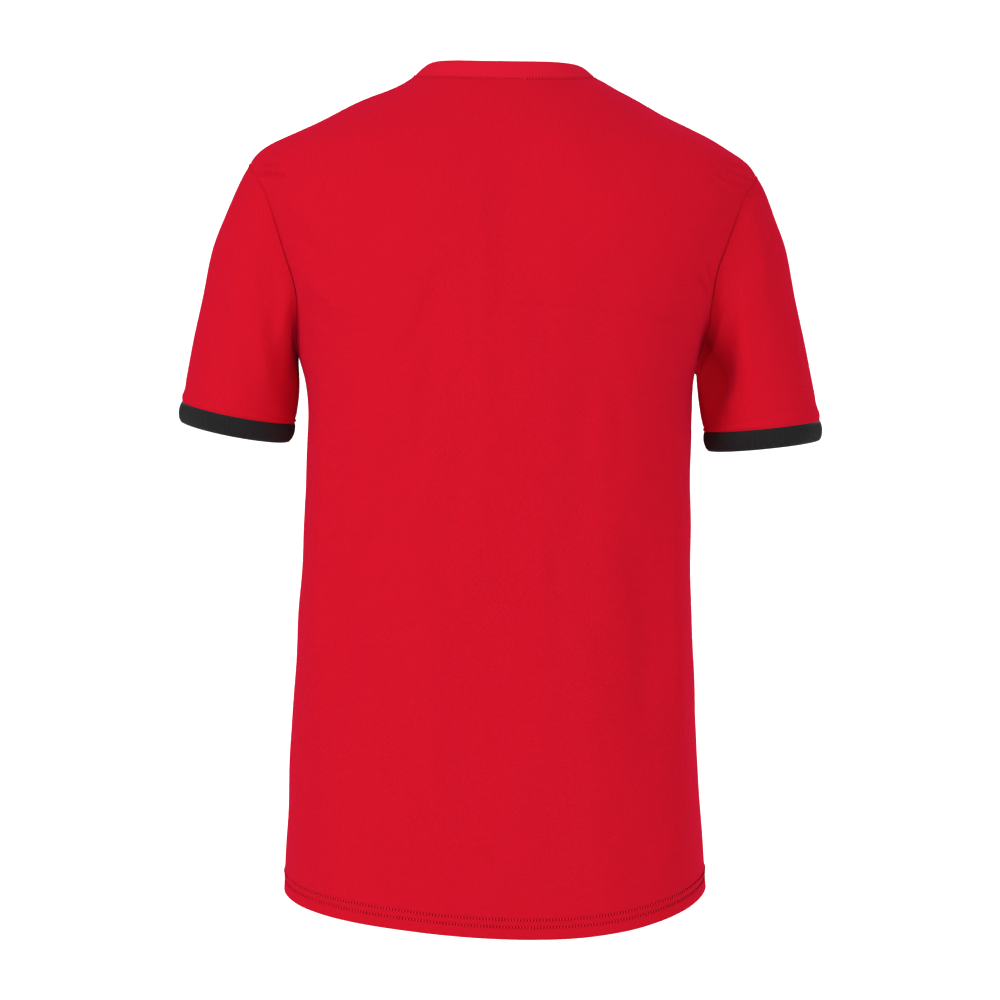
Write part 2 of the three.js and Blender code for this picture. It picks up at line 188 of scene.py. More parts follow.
def body_point(panel, x, z):
    """Places on a body panel's outer face, from how far left they are and how high."""
    facing = 1 if panel == "back" else -1
    square = read(BODY, "z", "square", z)
    width = np.where(x > 0, read(BODY, "z", "left", z), read(BODY, "z", "right", z))
    depth = read(BODY, "z", panel, z)
    across = np.minimum(np.abs(x) / width, 1)
    out = (1 - across**square) ** (1 / square)
    away_x = np.sign(x) * across ** (square - 1) / width
    away_y = facing * out ** (square - 1) / depth
    away = unit(np.stack([away_x, away_y, 0 * x], -1))
    rise = lift(FOLDS[panel], x, z) * np.clip(out * 2.5, 0, 1)
    return np.stack([x, facing * depth * out, z], -1) + away * rise[..., None]


def edge_of(panel, side, up):
    """Where a row of a panel meets its left or right edge."""
    z = np.interp(up, HEIGHTS["up"], HEIGHTS[side])
    inset = read(ARMHOLE, "down", panel, 2 - up)
    if side == "right":
        inset = inset - read(ARMHOLE, "down", "right", 2 - up)
    inset = np.where((up > 1) & (up < 2), inset, 0)
    return read(BODY, "z", side, z) - inset, z


def panel_point(panel, edge_up, up, turn):
    """Places on a panel by its rows and the angle across it, -90 degrees at its right edge."""
    right_x, right_z = edge_of(panel, "right", edge_up)
    left_x, left_z = edge_of(panel, "left", edge_up)
    hang = (right_z + left_z) / 2 - np.interp(up, HEIGHTS["up"], HEIGHTS[panel])
    flat = np.interp(up, HEIGHTS["up"], HEIGHTS["flat"])
    across = np.sin(turn)
    x = across * np.where(across > 0, left_x, right_x)
    level = right_z + (left_z - right_z) * (1 + across) / 2
    skew = np.interp(up, HEIGHTS["up"], HEIGHTS["skew"])
    middle = np.maximum(np.cos(turn), 0)
    drop = hang * middle**flat * (1 - skew * across * middle)
    return body_point(panel, x, level - drop)


EDGE = np.array([0, 0.5, 1.1, 1.9, 3.0, 4.6, 6.8])  # fine steps in from a sewn or folded edge


def from_edges(length, step, edge=EDGE):
    """Distances along a length, fine at both ends and even between."""
    count = max(int((length - 2 * edge[-1]) / step), 2)
    middle = np.linspace(edge[-1], length - edge[-1], count + 1)[1:-1]
    return np.concatenate([edge, middle, length - edge[::-1]])


# A panel's rows stand close together over the hem, at the tips of the shoulders and at the neck, and
# its columns along the side seams, where the cloth has its small gathers.
SIDE_LENGTH, SHOULDER_LENGTH = 460.0, 120.0
hem_steps = np.arange(0, HEM + 4, 0.8)
side_steps = np.concatenate([hem_steps, np.linspace(hem_steps[-1], SIDE_LENGTH, 102)[1:-1]])
side_steps = side_steps / SIDE_LENGTH
stretches = ((0, 0.3, 15), (0.3, 0.55, 21), (0.55, 0.8, 13), (0.8, 1, 24))  # from, to, and how many rows
hole_steps = [np.linspace(low, high, count, endpoint=False) for low, high, count in stretches]
hole_steps = np.concatenate(hole_steps)
to_neck = EDGE[::-1] / SHOULDER_LENGTH
by_tip = np.linspace(0, 0.3, 26)
shoulder_steps = np.concatenate([by_tip, np.linspace(0.3, 1 - to_neck[0], 24)[1:], 1 - to_neck[1:]])
UP = np.concatenate([side_steps, 1 + hole_steps, 2 + shoulder_steps])
EDGE_UP = np.concatenate([side_steps, 1 + (1 - np.cos(np.pi * hole_steps)) / 2, 2 + shoulder_steps])
SIDE_EDGE = np.append(EDGE, [8.4, 10.0, 11.7, 13.6, 15.8, 18.4])
PANEL_WIDTH = 480.0  # along the cloth, near enough for spacing its columns
ACROSS = from_edges(PANEL_WIDTH, 3.2, SIDE_EDGE) / PANEL_WIDTH


def along(points, axis):
    """Distance run along the rows or columns of a grid of places."""
    gaps = np.linalg.norm(np.diff(points, axis=axis), axis=-1)
    start = np.zeros_like(np.take(gaps, [0], axis))
    return np.concatenate([start, np.cumsum(gaps, axis)], axis)


def panel_grid(panel):
    """A panel's places, rows by columns, evenly spaced from its right edge to its left edge."""
    fine = np.linspace(-np.pi / 2, np.pi / 2, 361)
    rows = []
    for edge_up, up in zip(EDGE_UP, UP):
        run = along(panel_point(panel, edge_up, up, fine)[None], 1)[0]
        turn = np.interp(ACROSS * run[-1], run, fine)
        rows.append(panel_point(panel, edge_up, up, turn))
    return np.array(rows)


def smooth_step(low, high, x):
    t = np.clip((x - low) / (high - low), 0, 1)
    return t * t * (3 - 2 * t)


def triangles(points, closed):
    """Corner numbers of a grid's triangles. Each facet is split along its shorter diagonal."""
    high, wide = points.shape[:2]
    i, j = np.meshgrid(np.arange(high - 1), np.arange(wide if closed else wide - 1), indexing="ij")
    k = (j + 1) % wide
    a, b, c, d = (row * wide + column for row, column in ((i, j), (i, k), (i + 1, k), (i + 1, j)))
    flat = points.reshape(-1, 3)
    rising = np.linalg.norm(flat[a] - flat[c], axis=-1) <= np.linalg.norm(flat[b] - flat[d], axis=-1)
    first = np.where(rising[..., None], np.stack([a, b, c], -1), np.stack([a, b, d], -1))
    second = np.where(rising[..., None], np.stack([a, c, d], -1), np.stack([b, c, d], -1))
    return np.stack([first, second], 2).reshape(-1, 3)


def normals(points, closed):
    """Unit normals at a grid's places."""
    corners = triangles(points, closed)
    flat = points.reshape(-1, 3)
    a, b, c = (flat[corners[:, k]] for k in range(3))
    face = np.cross(b - a, c - a)
    total = np.zeros_like(flat)
    for k in range(3):
        np.add.at(total, corners[:, k], face)
    return unit(total).reshape(points.shape)


def cloth(name, outer, uv, material, thickness=CLOTH, closed=False):
    """A closed wall of cloth under a grid of places on its outer face, with rounded edges.
    The grid's faces point out when read by columns then rows. A closed grid's columns join up."""
    high, wide = outer.shape[:2]
    out = normals(outer, closed)
    thick = np.broadcast_to(thickness, (high, wide))[..., None]
    inner = outer - out * thick
    low_loop = np.arange(wide)
    loops = [low_loop, low_loop[::-1] + (high - 1) * wide]
    if not closed:
        left_loop = np.arange(1, high - 1) * wide
        loops = [np.concatenate([low_loop, left_loop + wide - 1, loops[1], left_loop[::-1]])]
    places = [outer.reshape(-1, 3), inner.reshape(-1, 3)]
    corners = triangles(outer, closed)
    faces = [corners, corners[:, ::-1] + high * wide]
    number = 2 * high * wide
    flat_out, flat_thick = out.reshape(-1, 3), thick.reshape(-1, 1)
    corner_of = [np.arange(high * wide)] * 2
    for loop in loops:
        edge = places[0][loop]
        ahead = unit(np.roll(edge, -1, 0) - np.roll(edge, 1, 0))
        beyond = unit(np.cross(ahead, flat_out[loop]))
        middle = edge - flat_out[loop] * flat_thick[loop] / 2 + beyond * flat_thick[loop] * 0.4
        places.append(middle)
        corner_of.append(loop)
        ring = number + np.arange(len(loop))
        number += len(loop)
        after, ring_after = np.roll(loop, -1), np.roll(ring, -1)
        faces += [
            np.stack([after, loop, ring], -1),
            np.stack([after, ring, ring_after], -1),
            np.stack([ring_after, ring, loop + high * wide], -1),
            np.stack([ring_after, loop + high * wide, after + high * wide], -1),
        ]
    places, faces, corner_of = np.concatenate(places), np.concatenate(faces), np.concatenate(corner_of)
    mesh = bpy.data.meshes.new(name)
    mesh.from_pydata((places * MM).tolist(), [], faces.tolist())
    mesh.polygons.foreach_set("use_smooth", np.ones(len(faces), bool))
    u, v = uv[..., 0].reshape(-1), uv[..., 1].reshape(-1)
    at = np.stack([u[corner_of][faces], v[corner_of][faces]], -1)
    if closed:  # faces across the join carry on past the last column
        size = np.ptp(u) * wide / (wide - 1)
        across = np.ptp(at[..., 0], axis=1) > size / 2
        at[..., 0] += size * (across[:, None] & (at[..., 0] < u.min() + size / 2))
    layer = mesh.uv_layers.new(name="UVMap")
    layer.data.foreach_set("uv", (at * MM).reshape(-1))
    mesh.materials.append(material)
    mesh.validate()
    piece = bpy.data.objects.new(name, mesh)
    bpy.context.scene.collection.objects.link(piece)
    return piece


def linear(colour):
    """An sRGB hex colour as linear numbers."""
    channels = [int(colour[k : k + 2], 16) / 255 for k in (1, 3, 5)]
    return [c / 12.92 if c <= 0.04045 else ((c + 0.055) / 1.055) ** 2.4 for c in channels] + [1]


def add(tree, kind, settings=None, **sockets):
    """A node with its settings, and its sockets set or linked by name."""
    node = tree.nodes.new(kind)
    for name, value in (settings or {}).items():
        setattr(node, name, value)
    for name, value in sockets.items():
        socket = node.inputs[int(name[1:])] if name[0] == "_" else node.inputs[name.replace("_", " ")]
        if isinstance(value, bpy.types.NodeSocket):
            tree.links.new(value, socket)
        else:
            socket.default_value = value
    return node


# Interlock, knitted from fine bright polyester and dyed in the piece: close vertical wales give a
# smooth satin face with a soft pink bloom at grazing angles and no hard gloss. The wales and courses
# are drawn twice as coarse as real, and the yarn's fleck, about 1 mm across, coarser still.
WALE, COURSE = 1.7, 1.3


def interlock(name, colour, shade):
    material = bpy.data.materials.new(name)
    material.use_nodes = True
    tree = material.node_tree
    shader = tree.nodes["Principled BSDF"]
    place = add(tree, "ShaderNodeUVMap", {"uv_map": "UVMap"})
    object_place = add(tree, "ShaderNodeTexCoord")
    stitch_place = add(tree, "ShaderNodeMapping", Vector=place.outputs["UV"])
    stitch_place.inputs["Scale"].default_value = (1 / (WALE * MM), 1 / (COURSE * MM), 1)
    parts = add(tree, "ShaderNodeSeparateXYZ", Vector=stitch_place.outputs["Vector"])
    turn_u = add(tree, "ShaderNodeMath", {"operation": "MULTIPLY"}, _0=parts.outputs["X"], _1=2 * math.pi)
    turn_v = add(tree, "ShaderNodeMath", {"operation": "MULTIPLY"}, _0=parts.outputs["Y"], _1=2 * math.pi)
    wale = add(tree, "ShaderNodeMath", {"operation": "COSINE"}, _0=turn_u.outputs[0])
    sum_of = {"operation": "MULTIPLY_ADD"}
    lean = add(tree, "ShaderNodeMath", sum_of, _0=wale.outputs[0], _1=1.3, _2=turn_v.outputs[0])
    loop = add(tree, "ShaderNodeMath", {"operation": "SINE"}, _0=lean.outputs[0])
    knit = add(tree, "ShaderNodeMath", sum_of, _0=wale.outputs[0], _1=0.6, _2=loop.outputs[0])
    yarn = add(tree, "ShaderNodeTexNoise", Vector=object_place.outputs["Object"], Scale=900.0, Detail=2.0)
    streak = add(tree, "ShaderNodeMapping", Vector=object_place.outputs["Object"])
    streak.inputs["Scale"].default_value = (26, 26, 5)  # uneven dye, in streaks about 40 by 200 mm
    cloudy = add(tree, "ShaderNodeTexNoise", Vector=streak.outputs[0], Scale=1.0, Detail=3.0)
    height = add(tree, "ShaderNodeMath", sum_of, _0=yarn.outputs["Fac"], _1=1.2, _2=knit.outputs[0])
    bump = add(tree, "ShaderNodeBump", Strength=0.3, Distance=0.0004, Height=height.outputs[0])
    # The knit's low places go towards the shade colour: painted shade between the loops, added to the
    # yarn's random fleck.
    depth = add(tree, "ShaderNodeMapRange", Value=knit.outputs[0], From_Min=-1.6, From_Max=1.6, To_Max=0.4)
    fleck_and_knit_shade = add(tree, "ShaderNodeMath", sum_of, _0=yarn.outputs["Fac"], _1=0.6, _2=depth.outputs[0])
    tone = add(tree, "ShaderNodeMath", sum_of, _0=cloudy.outputs["Fac"], _1=0.1, _2=fleck_and_knit_shade.outputs[0])
    in_colour = {"data_type": "RGBA"}
    mix = add(tree, "ShaderNodeMix", in_colour, _0=tone.outputs[0], _6=linear(shade), _7=linear(colour))
    tree.links.new(mix.outputs[2], shader.inputs["Base Color"])
    rough = add(tree, "ShaderNodeMapRange", Value=yarn.outputs["Fac"], To_Min=0.5, To_Max=0.62)
    tree.links.new(rough.outputs[0], shader.inputs["Roughness"])
    tree.links.new(bump.outputs["Normal"], shader.inputs["Normal"])
    shader.inputs["IOR"].default_value = 1.5
    shader.inputs["Specular IOR Level"].default_value = 0.0
    shader.inputs["Sheen Weight"].default_value = 0.25
    shader.inputs["Sheen Roughness"].default_value = 0.45
    shader.inputs["Sheen Tint"].default_value = linear("#d8347c")
    return material


interlock_red = interlock("dyed polyester interlock", "#e0182f", "#cf1125")

# The finer creases that the hanging cloth shows, on top of the solid's folds.
CREASES = {
    "back": table(
        FOLD_COLUMNS,
        (52, -182, 88, -250, 6, 9, -2.9),  # from the left blade down towards the side
        (90, -262, 104, -392, 4, 11, -2.3),
        (108, -400, 138, -548, -4, 10, -2.6),
        (30, -300, 34, -392, 0, 8, -2.0),
        (-46, -395, -50, -478, 0, 9, -2.2),
        (-94, -262, -98, -345, 3, 9, -1.8),
        (-116, -420, -121, -566, 4, 10, -1.0),
        (-158, -212, -157, -292, 0, 9, -2.2),  # hollow beside the right armpit
        (14, -112, 12, -300, 0, 9, 1.6),
        (-34, -150, -40, -262, -3, 10, -1.3),
        (150, -268, 156, -470, 3, 8, 2.6),
        (-148, -330, -152, -560, -3, 8, 2.6),
        (66, -420, 58, -610, 5, 14, 1.8),
        (-72, -470, -84, -640, -4, 15, 1.6),
        (0, -520, 10, -680, 0, 22, -1.8),
        (176, -112, 150, -140, 0, 9, 2.2),  # ripples by the left armhole
        (166, -142, 140, -172, 0, 8, -2.0),
        (168, -170, 138, -200, 0, 9, 2.2),
        (160, -196, 128, -232, 0, 8, -1.8),
        (-184, -118, -150, -140, 0, 9, 1.3),  # and by the right one
        (-178, -160, -150, -186, 0, 8, -1.6),
    ),
    "front": table(
        FOLD_COLUMNS,
        (62, -200, 92, -300, 6, 9, -2.7),
        (96, -310, 108, -430, 3, 11, -2.3),
        (-70, -205, -98, -320, -5, 10, -2.6),
        (-112, -330, -124, -520, -4, 10, -2.3),
        (26, -330, 18, -480, 0, 10, -2.0),
        (-24, -300, -30, -430, 3, 9, 1.6),
        (52, -470, 60, -640, 4, 14, 1.8),
        (-60, -500, -52, -660, -4, 15, 1.8),
        (150, -290, 156, -520, 3, 8, 2.6),
        (-148, -330, -152, -540, -3, 8, 2.6),
        (170, -150, 138, -178, 0, 9, 2.0),
        (164, -184, 132, -214, 0, 8, -2.0),
        (-174, -160, -142, -188, 0, 9, 1.8),
        (-168, -196, -136, -226, 0, 8, -1.8),
        (40, -108, 66, -150, 4, 12, 1.3),
        (-44, -110, -60, -160, -4, 12, 1.3),
    ),
}

# Short sharp creases that start at a seam: gathers at the tips of the shoulders, forks by an armpit.
GATHERS = {
    "back": table(
        FOLD_COLUMNS,
        (206, -87, 180, -91, 1, 2.5, -3.2),
        (206, -82, 187, -80, 1, 2.1, -2.4),
        (205, -79, 189, -71, 1, 2.0, -2.2),
        (203, -74, 191, -66, 0, 1.9, -1.8),
        (-210, -84, -186, -73, 1, 2.3, -1.8),
        (-211, -92, -182, -77, 1, 2.4, -2.2),
        (-210, -100, -178, -84, 2, 2.4, -2.0),
        (-204, -108, -176, -92, 2, 2.4, -1.6),
        (-179, -181, -176, -164, 0, 2.1, -3.2),
        (-178.5, -192, -167, -172, 0.5, 2.2, -3.8),
        (-176, -212, -170, -240, 1, 3.4, -2.0),
        (163, -196, 160, -230, 0, 4.5, -1.6),
    ),
    "front": table(
        FOLD_COLUMNS,
        (205, -88, 168, -82, 2, 2.9, -1.6),
        (204, -98, 178, -94, 1, 2.7, -1.2),
        (-208, -92, -176, -84, 1, 2.8, -1.5),
        (-208, -102, -180, -96, 1, 2.7, -1.2),
        (168, -188, 152, -168, 1, 2.8, -1.6),
        (-166, -200, -150, -178, 1, 2.8, -1.6),
    ),
}

# Slow swells over the whole cloth, as waves for each millimetre across and up.
SWELLS = table(
    "per_x per_z shift rise",
    (0.061, 0.018, 0.4, 0.45),
    (-0.043, 0.052, 1.9, 0.35),
    (0.021, 0.094, 3.1, 0.22),
    (0.117, -0.047, 5.2, 0.16),
    (0.150, 0.083, 2.2, 0.10),
)


def swell(a, b):
    waves = zip(*SWELLS.values())
    return sum(rise * np.sin(per_a * a + per_b * b + shift) for per_a, per_b, shift, rise in waves)


def hem_relief(up_from_edge):
    """How far the hem's sewing moves the cloth: a channel under each needle, and a slope between them
    where the lower row is pulled in more."""
    low, high = TWIN_ROWS
    relief = sum(-0.45 * np.exp(-(((up_from_edge - row) / 0.9) ** 2)) for row in TWIN_ROWS)
    pulled = smooth_step(low - 4, low, up_from_edge) * (1 - smooth_step(low, high, up_from_edge))
    relief = relief - 0.65 * pulled
    return relief + 0.15 * (1 - smooth_step(HEM - 2, HEM + 2, up_from_edge))


def body_panel(panel):
    """A finished body panel, the plain grid of its places and the grid of its outer face."""
    plain = panel_grid(panel)
    if panel == "back":  # read so that its faces point out
        plain = plain[:, ::-1]
    run_u, run_v = along(plain, 1), along(plain, 0)
    from_side = np.minimum(run_u, run_u[:, -1:] - run_u)
    from_seam = np.minimum(from_side, run_v[-1:] - run_v)
    x, z = plain[..., 0], plain[..., 2]
    crease = (lift(CREASES[panel], x, z) + swell(x, z)) * smooth_step(0, 9, from_seam)
    crease += lift(GATHERS[panel], x, z) * smooth_step(0, 2.5, from_seam)
    dip = -SEAM_DIP * np.exp(-((from_seam / 1.7) ** 2))
    relief = crease + dip + hem_relief(run_v) * smooth_step(0, 5, from_side)
    outer = plain + normals(plain, False) * relief[..., None]
    thickness = CLOTH * (2 - smooth_step(HEM - 1.5, HEM + 1, run_v))  # two layers in the hem
    uv = np.stack([run_u - run_u[:, -1:] / 2, run_v], -1)
    piece = cloth(f"{panel}_panel", outer, uv, interlock_red, thickness)
    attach(piece, "root")
    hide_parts(panel)
    return piece, plain, outer


back_panel, back_plain, back_outer = body_panel("back")

# ================================ Front panel ================================
# The front is cut from the same interlock, shorter than the back and scooped out for the crew neck.
# It is sewn to the back at the sides and shoulders, with the same twin-needle hem.

front_panel, front_plain, front_outer = body_panel("front")

# ================================ Sleeves ================================
# Each sleeve is one piece of the same interlock, set into its armhole and joined under the arm. It
# hangs a little away from the body, rounded as over an arm, and gathers slightly at the shoulder.

# Rings of a sleeve from the armhole (0) to the cuff (1): where its top line and its underarm line are,
# how deep it is behind and in front, how far forward it lies, and how far its back hangs below level.
SLEEVE_COLUMNS = "along top_x top_z under_x under_z depth forward hang"
SLEEVES = {
    "left": table(
        SLEEVE_COLUMNS,
        (0, 212.5, -74, 172.5, -236, 60, 0, 0),
        (0.12, 222, -91, 173.6, -240, 61, 0, 0),
        (0.25, 233.5, -115, 172.8, -247, 61, 1, 1),
        (0.4, 245.3, -146, 171.9, -256, 60, 2, 2),
        (0.6, 254.5, -189, 171.8, -270, 58, 3, 3),
        (0.8, 263.7, -232, 173.2, -283, 56, 5, 5),
        (1, 272.3, -277, 175.5, -296, 54, 6, 6),
    ),
    "right": table(
        SLEEVE_COLUMNS,
        (0, 218, -85, 167.4, -254, 61, 0, 0),
        (0.12, 226, -99, 168.8, -257, 62, 0, 0),
        (0.25, 235, -121, 169, -262, 61, 1, 1),
        (0.4, 244, -147, 169.4, -269, 60, 2, 1),
        (0.6, 252.5, -190, 170.3, -279, 58, 3, 2),
        (0.8, 262.5, -237, 172, -291, 56, 5, 3),
        (1, 274, -293.5, 174.7, -303.7, 54, 6, 4),
    ),
}
SLEEVE_LENGTH = 200.0

# Folds as millimetres down the sleeve and degrees round it: 0 is its top line, 90 the back.
SLEEVE_FOLDS = table(
    FOLD_COLUMNS,
    (60, 100, 150, 140, 0, 17, -3.5),
    (40, 60, 120, 72, 0, 16, 2),
    (60, 150, 170, 156, 0, 13, -2.5),
    (60, 256, 160, 222, 0, 17, -3.5),
    (50, 305, 140, 290, 0, 16, 2),
)


def ring_point(side, along_sleeve, turn):
    """Places on the rings of a plain sleeve, and the directions away from the rings' middles."""
    out = 1 if side == "left" else -1
    size = {name: read(SLEEVES[side], "along", name, along_sleeve) for name in SLEEVE_COLUMNS.split()[1:]}
    top = np.stack([out * size["top_x"], -size["forward"], size["top_z"]], -1)
    under = np.stack([out * size["under_x"], -size["forward"], size["under_z"]], -1)
    middle = (top + under) / 2
    through = np.stack([0 * size["depth"], size["depth"], -size["hang"]], -1)
    point = middle + (top - middle) * np.cos(turn)[..., None] + through * np.sin(turn)[..., None]
    return point, unit(point - middle)


def armhole(side, turn):
    """The armhole seam by the angle round it: down the back from the tip, then up the front."""
    up = 1 + (1 + np.cos(turn)) / 2
    out = 1 if side == "left" else -1
    points = []
    for panel in ("back", "front"):
        x, z = edge_of(panel, side, up)
        points.append(body_point(panel, out * x, z))
    return np.where((turn <= np.pi)[..., None], *points)


# The finer creases of each sleeve, in the same measures.
SLEEVE_CREASES = {
    "left": table(
        FOLD_COLUMNS,
        (20, 62, 74, 84, 4, 8, 1.5),
        (30, 88, 92, 108, -4, 7, -1.3),
        (58, 56, 118, 70, 3, 9, 1.2),
        (84, 92, 138, 118, 5, 8, 1.3),
        (96, 40, 160, 62, 0, 10, -0.9),
        (128, 78, 176, 98, 3, 8, 1.0),
        (36, 262, 96, 240, 4, 8, -1.3),
        (80, 300, 150, 282, 0, 9, 1.2),
        (10, 18, 34, 26, 0, 3, -0.7),
        (8, 34, 30, 40, 0, 3, -0.6),
        (8, 344, 30, 338, 0, 3, -0.6),
    ),
    "right": table(
        FOLD_COLUMNS,
        (26, 48, 84, 58, 4, 8, 1.3),
        (40, 84, 108, 102, -4, 8, -1.2),
        (92, 60, 152, 74, 3, 10, 1.0),
        (120, 104, 170, 118, 4, 8, -1.1),
        (150, 40, 190, 48, 0, 9, 0.9),
        (40, 258, 100, 238, 4, 8, -1.3),
        (84, 302, 152, 286, 0, 9, 1.2),
        (10, 22, 32, 30, 0, 3, -0.6),
        (8, 342, 30, 336, 0, 3, -0.6),
        (62, 148, 190, 144, 0, 19, -5.0),  # turns its inner side towards the body
        (60, 124, 142, 122, 0, 17, -7.0),
        (56, 92, 170, 96, 0, 15, 1.5),
    ),
}
ROUND = 370.0  # round the sleeve, near enough, for placing its creases


def sleeve(side):
    down = from_edges(SLEEVE_LENGTH, 2.6)[:, None]
    if side == "left":  # read so that its faces point out
        down = down[::-1]
    from_under = from_edges(ROUND, 2.6)[None, :-1]
    turn = np.pi + from_under / ROUND * 2 * np.pi
    down, turn, from_under = np.broadcast_arrays(down, turn % (2 * np.pi), from_under)
    part = down / SLEEVE_LENGTH
    point, away = ring_point(side, part, turn)
    from_seam = armhole(side, turn) - ring_point(side, 0 * part, turn)[0]
    ease = smooth_step(0, 0.3, part) * smooth_step(0, 0.2, 1 - part)
    rise = lift(SLEEVE_FOLDS, down, np.degrees(turn)) * ease
    plain = point + from_seam * (1 - smooth_step(0, 1, part))[..., None] + away * rise[..., None]
    to_cuff = SLEEVE_LENGTH - down
    to_under = np.minimum(from_under, ROUND - from_under)
    waves = 0.7 * swell(0.8 * from_under, down) * smooth_step(0, 40, to_under)
    crease = lift(SLEEVE_CREASES[side], down, np.degrees(turn)) + waves
    relief = crease * smooth_step(0, 9, down) * smooth_step(4, 16, to_cuff)
    relief -= SEAM_DIP * (np.exp(-((down / 1.5) ** 2)) + np.exp(-((to_cuff / 1.6) ** 2)))
    relief -= 0.6 * np.exp(-((to_under / 1.5) ** 2))
    relief += 0.8 * np.exp(-(((down - 2.6) / 1.6) ** 2))  # the seam's turnings lie under the sleeve
    relief += 0.7 * np.exp(-(((to_cuff - 4.0) / 2.8) ** 2))  # the end rolls out over the cuff's seam
    relief -= 0.5 * np.exp(-(((to_cuff - 10.0) / 3.5) ** 2))
    outer = plain + normals(plain, True) * relief[..., None]
    seam, beside = (-1, -2) if side == "left" else (0, 1)
    outer[seam] += unit(outer[seam] - outer[beside]) * 0.8  # its edge is tucked in under the panels'
    uv = np.stack([from_under, -down], -1)
    piece = cloth(f"sleeve_{side}_cloth", outer, uv, interlock_red, CLOTH, closed=True)
    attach(piece, "root")
    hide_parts(f"sleeve_{side}")


for side in ("left", "right"):
    sleeve(side)

# ================================ Cuffs ================================
# Each cuff is a band of black polyester rib, folded double along its lower edge and sewn to the end
# of the sleeve, slightly stretched, so that it grips and its ribs stand upright.

DOUBLED = 2 * CLOTH  # thickness of a band folded double
CUFF_HEIGHT = 17.0
CUFF_RADIUS = 52  # near enough, for the lie of its pattern
RIB_COUNT = 152
CUFF = table("down swell", (0, 0), (CUFF_HEIGHT / 2, 1), (CUFF_HEIGHT, -1))


# Rib knitted from dull black polyester, napped a little in washing: its matt ribs take the light from
# the side and stay dark between. A faint grey fleck, lighter on the raised yarn, is partly napped filaments
# and partly a painted glint.
def rib_knit(name, colour, napped_fleck_and_glint):
    material = bpy.data.materials.new(name)
    material.use_nodes = True
    tree = material.node_tree
    shader = tree.nodes["Principled BSDF"]
    place = add(tree, "ShaderNodeTexCoord")
    yarn = add(tree, "ShaderNodeTexNoise", Vector=place.outputs["Object"], Scale=1100.0, Detail=3.0)
    ends = {"_6": linear(colour), "_7": linear(napped_fleck_and_glint)}
    mix = add(tree, "ShaderNodeMix", {"data_type": "RGBA"}, _0=yarn.outputs["Fac"], **ends)
    tree.links.new(mix.outputs[2], shader.inputs["Base Color"])
    bump = add(tree, "ShaderNodeBump", Strength=0.4, Distance=0.0003, Height=yarn.outputs["Fac"])
    tree.links.new(bump.outputs["Normal"], shader.inputs["Normal"])
    shader.inputs["Roughness"].default_value = 0.72
    shader.inputs["Specular IOR Level"].default_value = 0.2
    shader.inputs["Sheen Weight"].default_value = 0.06
    shader.inputs["Sheen Roughness"].default_value = 0.5
    return material


black_rib = rib_knit("black polyester rib", "#111112", "#202022")


def cuff(side):
    turn = np.linspace(0, 2 * np.pi, RIB_COUNT * 6 + 1)[:-1]
    start, away = ring_point(side, np.ones_like(turn), turn)
    top, back, under, front = start[:: len(turn) // 4][:4]
    down = unit(np.cross(top - under, back - front))
    down = down * -np.sign(down[2])
    heights = from_edges(CUFF_HEIGHT, 1.2)
    if side == "left":
        heights = heights[::-1]
    swell = read(CUFF, "down", "swell", heights)
    ribs = 0.22 * np.cos(RIB_COUNT * turn)
    dip = -SEAM_DIP * np.exp(-((heights / 1.5) ** 2))
    fold = -0.9 * np.exp(-(((CUFF_HEIGHT - heights) / 1.4) ** 2))
    push = (swell + dip + fold)[:, None] + ribs * smooth_step(0, 3, heights)[:, None]
    outer = start + down * heights[:, None, None] + away * push[..., None]
    uv = np.stack(np.broadcast_arrays(turn * CUFF_RADIUS, -heights[:, None]), -1)
    piece = cloth(f"cuff_{side}_rib", outer, uv, black_rib, DOUBLED, closed=True)
    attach(piece, "root")
    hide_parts(f"cuff_{side}")


for side in ("left", "right"):
    cuff(side)

# ================================ Neck band ================================
# The crew neck is finished with a narrow band of the same interlock, folded double and overlocked to
# the neckline. It stands up and leans in towards the neck, most at the sides and the front.

BAND_HEIGHT = 15.0
# How far the band leans in, by the angle round the neck: 0 is the middle of the back.
NECK_BAND = table("round lean", (0, 8), (45, 15), (90, 54), (135, 48), (180, 40))


def neck_band():
    seam = np.concatenate([back_plain[-1], front_plain[-1, 1:-1]])
    heights = from_edges(BAND_HEIGHT, 1.0)
    around = np.degrees(np.arctan2(np.abs(seam[:, 0]), seam[:, 1]))
    lean = np.radians(read(NECK_BAND, "round", "lean", around))[:, None]
    inwards = unit(seam * [-1, -1, 0])
    rise = np.cos(lean) * [0, 0, 1] + np.sin(lean) * inwards
    out = unit(np.sin(lean) * [0, 0, 1] - np.cos(lean) * inwards)
    dip = -SEAM_DIP * np.exp(-((heights / 1.6) ** 2))
    fold = -0.8 * np.exp(-(((BAND_HEIGHT - heights) / 1.5) ** 2))
    belly = 0.5 * np.sin(np.pi * heights / BAND_HEIGHT) + 0.3 * np.exp(-(((heights - 1.5) / 1.0) ** 2))
    outer = seam + rise * heights[:, None, None] + out * (dip + fold + belly)[:, None, None]
    run = along(seam[None], 1)[0]
    uv = np.stack(np.broadcast_arrays(run, heights[:, None]), -1)
    piece = cloth("neck_band", outer, uv, band_red, DOUBLED, closed=True)
    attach(piece, "root")
    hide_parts("collar")


# The same dyed interlock. Doubled over, it lets no light through, so the band looks a shade brighter.
band_red = interlock("polyester interlock, folded double", "#e61d38", "#d8182f")
neck_band()
